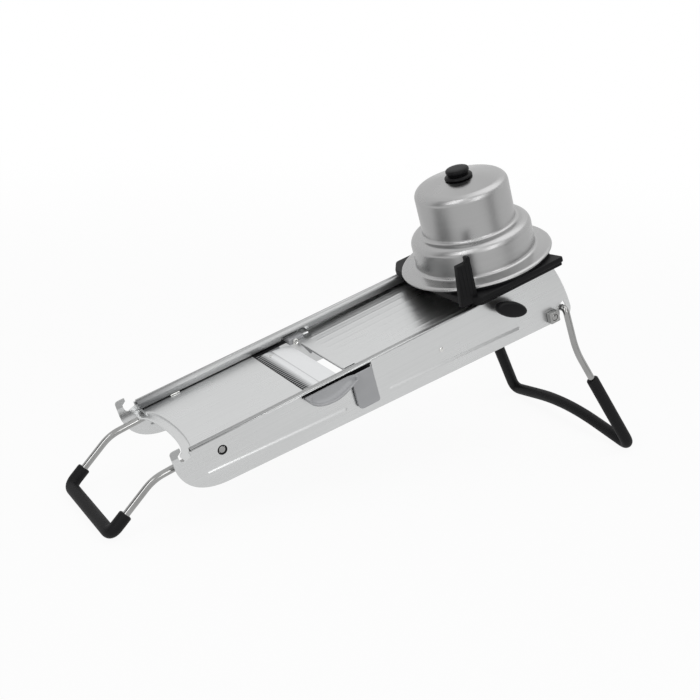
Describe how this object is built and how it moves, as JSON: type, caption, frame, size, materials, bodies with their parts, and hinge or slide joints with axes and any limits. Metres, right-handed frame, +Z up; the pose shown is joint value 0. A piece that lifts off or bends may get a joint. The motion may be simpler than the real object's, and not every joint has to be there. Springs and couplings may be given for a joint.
{
  "type": "vegetable cutter",
  "caption": "Stainless steel mandoline slicer on a folding wire handle and leg, with a sliding carriage, a domed food pusher, a pull-out blade and a thickness knob.",
  "frame": {"origin": "middle of the box that holds the part, on the surface that it stands on", "axes": "+X from the low handle end to the high leg end, +Y across from the side with the knob to the far side, +Z up"},
  "size_m": [0.4994, 0.1854, 0.2614],
  "materials": {
    "brushed_sheet": "brushed stainless sheet",
    "ground_blade": "ground blade steel",
    "spun_sheet": "spun and polished stainless sheet",
    "polished_wire": "polished stainless wire",
    "turned_steel": "turned stainless",
    "grey_casting": "grey satin casting",
    "black_plastic": "moulded black plastic",
    "black_rubber": "moulded black rubber"
  },
  "bodies": {
    "frame": {"near_side_wall": "brushed_sheet", "far_side_wall": "brushed_sheet", "exit_plate": "brushed_sheet", "seat_bar": "brushed_sheet", "ramp_hinge_pin": "turned_steel", "hinge_bush_near": "grey_casting", "hinge_bush_far": "grey_casting", "wall_rivet_near": "turned_steel", "wall_rivet_far": "turned_steel", "knob_stop_pin": "turned_steel", "leg_axle": "turned_steel", "leg_nut_near": "turned_steel", "leg_nut_far": "turned_steel"},
    "ramp": {"ramp_plate": "brushed_sheet", "ramp_bar": "grey_casting", "thickness_tab": "grey_casting", "ramp_far_bracket": "grey_casting", "ramp_far_rivet": "turned_steel", "ramp_far_tab": "brushed_sheet"},
    "knob": {"thickness_knob": "black_plastic", "thickness_shaft": "turned_steel", "thickness_cam_near": "black_plastic", "thickness_cam_far": "black_plastic", "thickness_shaft_clip": "turned_steel"},
    "blade_cassette": {"blade": "ground_blade", "blade_block": "grey_casting", "blade_block_grip": "grey_casting", "blade_rivet_near": "turned_steel", "blade_rivet_far": "turned_steel"},
    "front_handle": {"front_handle_wire": "polished_wire", "front_handle_sleeve": "black_rubber"},
    "rear_leg": {"rear_leg_wire": "polished_wire", "rear_leg_sleeve": "black_rubber"},
    "carriage": {"carriage_frame": "black_plastic"},
    "dome": {"dome_shell": "spun_sheet", "dome_collar": "black_plastic"},
    "plunger": {"plunger_knob": "black_plastic", "plunger_shaft": "turned_steel", "prong_plate": "brushed_sheet", "prong_plate_nut": "turned_steel"}
  },
  "joints": [
    {"name": "ramp_tilt", "type": "hinge", "parent": "frame", "child": "ramp", "pos_m": [0.16297, 0, 0.16666], "axis": [0, -1, 0], "range_deg": [-0.8, 1.6]},
    {"name": "thickness_turn", "type": "hinge", "parent": "frame", "child": "knob", "pos_m": [0.11409, 0, 0.1471], "axis": [0, 1, 0], "range_deg": [-60, 120]},
    {"name": "blade_pull", "type": "slide", "parent": "frame", "child": "blade_cassette", "axis": [0, -1, 0], "range_m": [0, 0.1]},
    {"name": "front_handle_fold", "type": "hinge", "parent": "frame", "child": "front_handle", "pos_m": [-0.15553, 0, 0.06378], "axis": [0, -1, 0], "range_deg": [0, 157]},
    {"name": "rear_leg_fold", "type": "hinge", "parent": "frame", "child": "rear_leg", "pos_m": [0.16161, 0, 0.13325], "axis": [0, 1, 0], "range_deg": [0, 100]},
    {"name": "carriage_slide", "type": "slide", "parent": "frame", "child": "carriage", "axis": [-0.9522, 0, -0.3054], "range_m": [0, 0.25]},
    {"name": "dome_lift", "type": "slide", "parent": "carriage", "child": "dome", "axis": [-0.3054, 0, 0.9522], "range_m": [0, 0.06]},
    {"name": "plunger_lift", "type": "slide", "parent": "dome", "child": "plunger", "axis": [-0.3054, 0, 0.9522], "range_m": [0, 0.055]}
  ],
  "couplings": [
    {"joint": "thickness_turn", "follows": "ramp_tilt", "ratio": 75}
  ]
}
